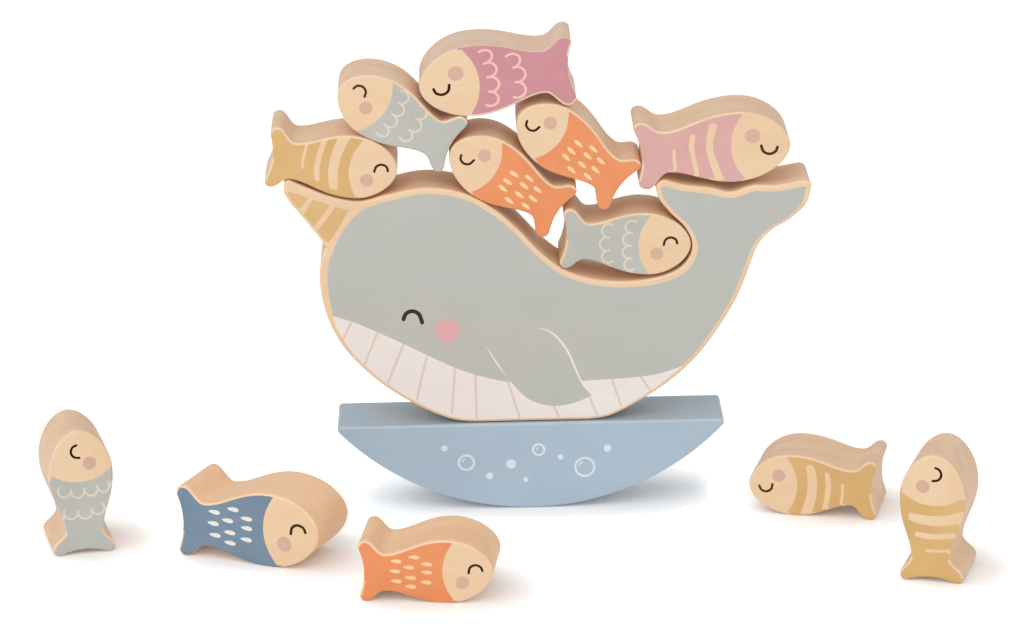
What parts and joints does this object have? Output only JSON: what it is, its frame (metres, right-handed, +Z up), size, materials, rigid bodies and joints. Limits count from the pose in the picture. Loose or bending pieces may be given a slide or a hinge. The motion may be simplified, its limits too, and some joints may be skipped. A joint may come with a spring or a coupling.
{
  "type": "balance stacking game",
  "caption": "Wooden balance game: a whale board on a round-bottomed rocker, with fish blocks to stack on its back and tail without tipping it.",
  "frame": {"origin": "middle of the rocker's lowest line, where it meets the floor", "axes": "+X along the rocker towards the whale's tail, +Y from the printed front to the back, +Z up"},
  "size_m": [0.3774, 0.1409, 0.1998],
  "materials": {
    "blue_paint": "satin water-based paint",
    "grey_print": "matte printed wood",
    "bare_beech": "bare sanded wood",
    "sage_print": "matte printed wood",
    "orange_print": "matte printed wood",
    "yellow_print": "matte printed wood",
    "rose_print": "matte printed wood",
    "pink_print": "matte printed wood",
    "blue_print": "matte printed wood"
  },
  "bodies": {
    "blue_fish": {"blue_fish": "blue_print"},
    "rocker": {"rocker_base": "blue_paint", "whale_body": "grey_print", "dowel_left": "bare_beech", "dowel_right": "bare_beech"},
    "sage_fish_bay": {"sage_fish_bay": "sage_print"},
    "orange_fish_left": {"orange_fish_left": "orange_print"},
    "pink_stripe_fish": {"pink_stripe_fish": "rose_print"},
    "orange_fish_right": {"orange_fish_right": "orange_print"},
    "yellow_fish_stack": {"yellow_fish_stack": "yellow_print"},
    "sage_fish_upper": {"sage_fish_upper": "sage_print"},
    "pink_scallop_fish": {"pink_scallop_fish": "pink_print"},
    "orange_fish_floor": {"orange_fish_floor": "orange_print"},
    "yellow_fish_floor": {"yellow_fish_floor": "yellow_print"},
    "sage_fish_standing": {"sage_fish_standing": "sage_print"},
    "yellow_fish_standing": {"yellow_fish_standing": "yellow_print"}
  },
  "joints": [
    {"name": "rocker_rock", "type": "hinge", "parent": "blue_fish", "child": "rocker", "pos_m": [0, 0, 0.10854], "axis": [0, 1, 0], "range_deg": [-20, 20]},
    {"name": "sage_fish_bay_draw", "type": "slide", "parent": "rocker", "child": "sage_fish_bay", "axis": [0, -1, 0], "range_m": [0, 0.045]},
    {"name": "orange_fish_left_draw", "type": "slide", "parent": "rocker", "child": "orange_fish_left", "axis": [0, -1, 0], "range_m": [0, 0.045]},
    {"name": "orange_fish_right_draw", "type": "slide", "parent": "rocker", "child": "orange_fish_right", "axis": [0, -1, 0], "range_m": [0, 0.045]},
    {"name": "pink_stripe_fish_draw", "type": "slide", "parent": "rocker", "child": "pink_stripe_fish", "axis": [0, -1, 0], "range_m": [0, 0.045]},
    {"name": "yellow_fish_stack_draw", "type": "slide", "parent": "rocker", "child": "yellow_fish_stack", "axis": [0, -1, 0], "range_m": [0, 0.045]},
    {"name": "sage_fish_upper_draw", "type": "slide", "parent": "rocker", "child": "sage_fish_upper", "axis": [0, -1, 0], "range_m": [0, 0.045]},
    {"name": "pink_scallop_fish_lift", "type": "slide", "parent": "rocker", "child": "pink_scallop_fish", "axis": [0, 0, 1], "range_m": [0, 0.06]},
    {"name": "orange_fish_floor_lift", "type": "slide", "parent": "blue_fish", "child": "orange_fish_floor", "axis": [0, 0, 1], "range_m": [0, 0.045]},
    {"name": "yellow_fish_floor_lift", "type": "slide", "parent": "blue_fish", "child": "yellow_fish_floor", "axis": [0, 0, 1], "range_m": [0, 0.045]},
    {"name": "sage_fish_standing_lift", "type": "slide", "parent": "blue_fish", "child": "sage_fish_standing", "axis": [0, 0, 1], "range_m": [0, 0.06]},
    {"name": "yellow_fish_standing_lift", "type": "slide", "parent": "blue_fish", "child": "yellow_fish_standing", "axis": [0, 0, 1], "range_m": [0, 0.06]}
  ]
}
